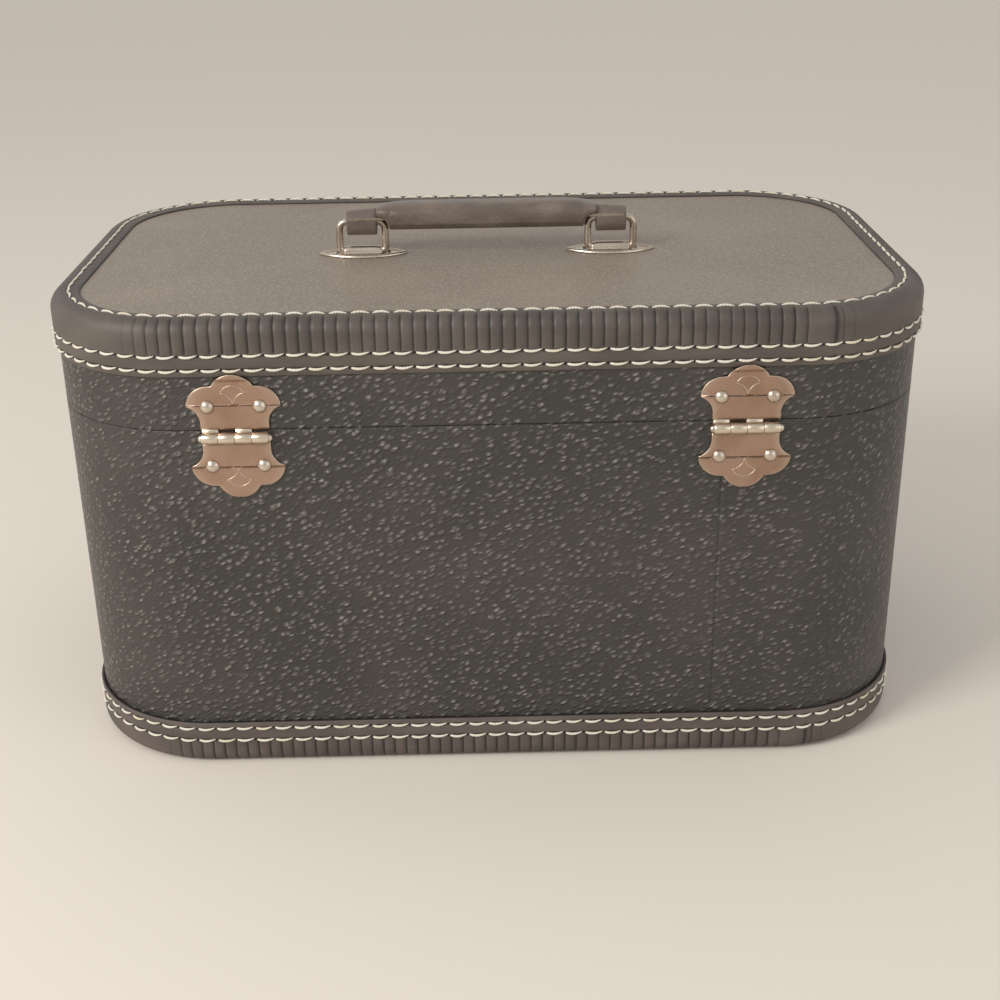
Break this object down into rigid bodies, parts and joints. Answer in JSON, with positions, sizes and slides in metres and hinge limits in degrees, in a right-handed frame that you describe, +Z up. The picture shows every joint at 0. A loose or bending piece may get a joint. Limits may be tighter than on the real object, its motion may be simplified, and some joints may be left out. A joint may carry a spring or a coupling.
{
  "type": "carrying case",
  "caption": "Hard carrying case with rounded upright corners, a hinged lid, stitched bindings, slide latches and a swinging top handle.",
  "frame": {"origin": "centre of the footprint, on the surface that the case stands on", "axes": "+X to the right seen from the latches, +Y towards the hinges, +Z up"},
  "size_m": [0.37, 0.2326, 0.2261],
  "materials": {
    "cover": "embossed leathercloth",
    "top_cover": "fine-grained leathercloth",
    "binding": "ribbed vinyl binding",
    "thread": "waxed thread",
    "fibreboard": "raw board",
    "lining": "plain cloth",
    "hinge_plate": "dull nickel",
    "nickel": "nickel plated",
    "grip": "smooth vinyl"
  },
  "bodies": {
    "base": {"base_wall": "fibreboard", "bottom_panel": "fibreboard", "base_cover": "cover", "bottom_cover": "cover", "base_binding": "binding", "base_stitching": "thread", "base_lining": "lining", "collar": "lining", "hinge_lower_leaf_left": "hinge_plate", "hinge_lower_leaf_right": "hinge_plate", "hinge_pin_left": "nickel", "hinge_pin_right": "nickel", "hinge_rivets_base": "nickel", "latch_housing_left": "nickel", "latch_housing_right": "nickel", "latch_rivets_base": "nickel"},
    "lid": {"lid_wall": "fibreboard", "top_panel": "fibreboard", "lid_cover": "cover", "top_cover": "top_cover", "lid_binding": "binding", "lid_stitching": "thread", "lid_lining": "lining", "hinge_upper_leaf_left": "hinge_plate", "hinge_upper_leaf_right": "hinge_plate", "hinge_rivets_lid": "nickel", "handle_plate_left": "nickel", "handle_plate_right": "nickel", "handle_backing_plates": "nickel", "latch_strike_left": "nickel", "latch_strike_right": "nickel", "latch_rivets_lid": "nickel"},
    "bail_left": {"bail_left": "nickel"},
    "bail_right": {"bail_right": "nickel"},
    "handle": {"handle_core": "nickel", "handle_tabs": "grip", "handle_grip": "grip"},
    "slide_left": {"latch_slide_left": "nickel"},
    "slide_right": {"latch_slide_right": "nickel"}
  },
  "joints": [
    {"name": "lid_hinge", "type": "hinge", "parent": "base", "child": "lid", "pos_m": [0, 0.11403, 0.1552], "axis": [-1, 0, 0], "range_deg": [0, 170]},
    {"name": "bail_left_swing", "type": "hinge", "parent": "lid", "child": "bail_left", "pos_m": [-0.056, 0.00822, 0.20405], "axis": [1, 0, 0], "range_deg": [-55, 55]},
    {"name": "bail_right_swing", "type": "hinge", "parent": "lid", "child": "bail_right", "pos_m": [0.056, 0.00822, 0.20405], "axis": [1, 0, 0], "range_deg": [-55, 55]},
    {"name": "handle_tilt", "type": "hinge", "parent": "bail_left", "child": "handle", "pos_m": [-0.056, 0.00822, 0.21725], "axis": [1, 0, 0], "range_deg": [-35, 35]},
    {"name": "latch_slide_left_travel", "type": "slide", "parent": "base", "child": "slide_left", "axis": [-1, 0, 0], "range_m": [0, 0.004]},
    {"name": "latch_slide_right_travel", "type": "slide", "parent": "base", "child": "slide_right", "axis": [1, 0, 0], "range_m": [0, 0.004]}
  ],
  "couplings": [
    {"joint": "bail_right_swing", "follows": "bail_left_swing", "ratio": 1}
  ]
}
